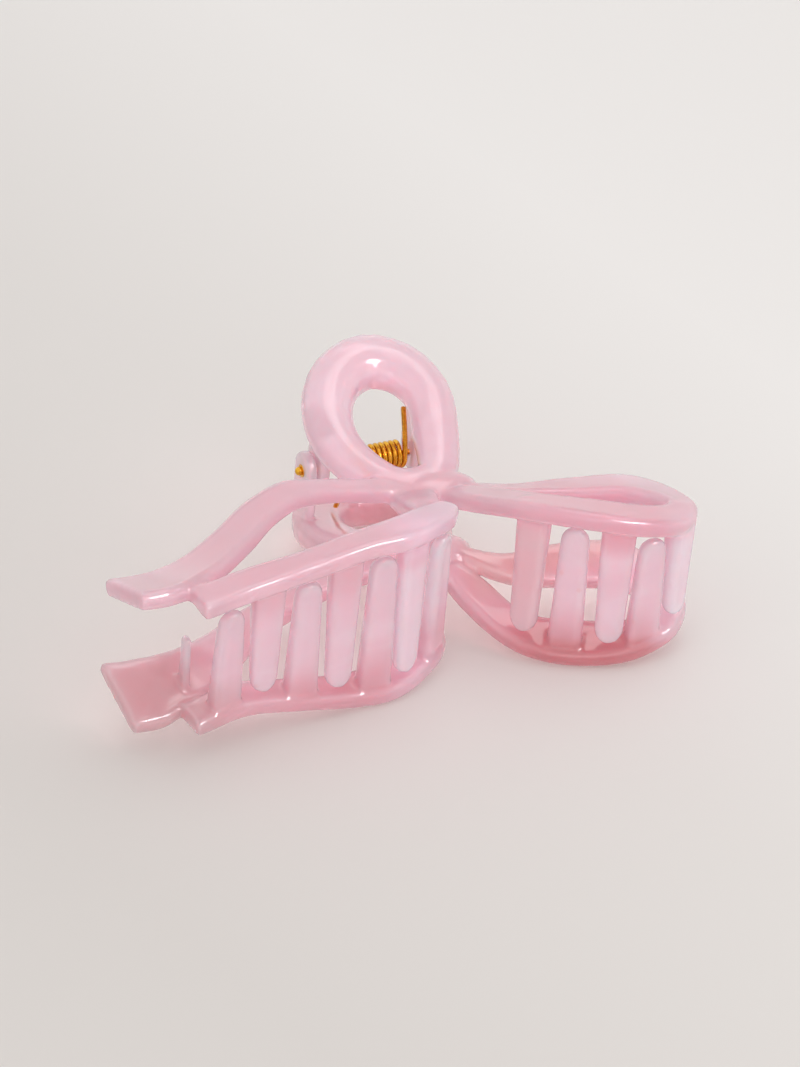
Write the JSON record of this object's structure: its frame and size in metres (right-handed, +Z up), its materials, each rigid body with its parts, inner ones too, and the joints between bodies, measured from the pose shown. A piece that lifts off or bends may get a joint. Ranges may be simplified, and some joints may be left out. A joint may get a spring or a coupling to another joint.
{
  "type": "claw clip",
  "caption": "Bow-shaped hair claw clip with interlocking teeth, looped finger grips, and a coiled spring on a hinge pin that holds the jaws shut.",
  "frame": {"origin": "centre of the shut clip's box at the surface it lies on", "axes": "+X along the hinge pin towards the bow's loop, +Y from the teeth to the finger rings, +Z up from the lower jaw to the upper jaw"},
  "size_m": [0.1258, 0.0768, 0.0464],
  "materials": {
    "pink_plastic": "translucent pearl gloss",
    "gold_metal": "polished"
  },
  "bodies": {
    "lower_jaw": {"lower_jaw": "pink_plastic", "hinge_pin": "gold_metal", "torsion_spring": "gold_metal"},
    "upper_jaw": {"upper_jaw": "pink_plastic"}
  },
  "joints": [
    {"name": "jaw_hinge", "type": "hinge", "parent": "lower_jaw", "child": "upper_jaw", "pos_m": [0.01039, 0.02218, 0.02283], "axis": [-0.9992, 0, 0.0391], "range_deg": [0, 55], "stiffness_Nm_per_rad": 0.19, "springref_deg": -45.84, "deforming": ["torsion_spring"]}
  ]
}
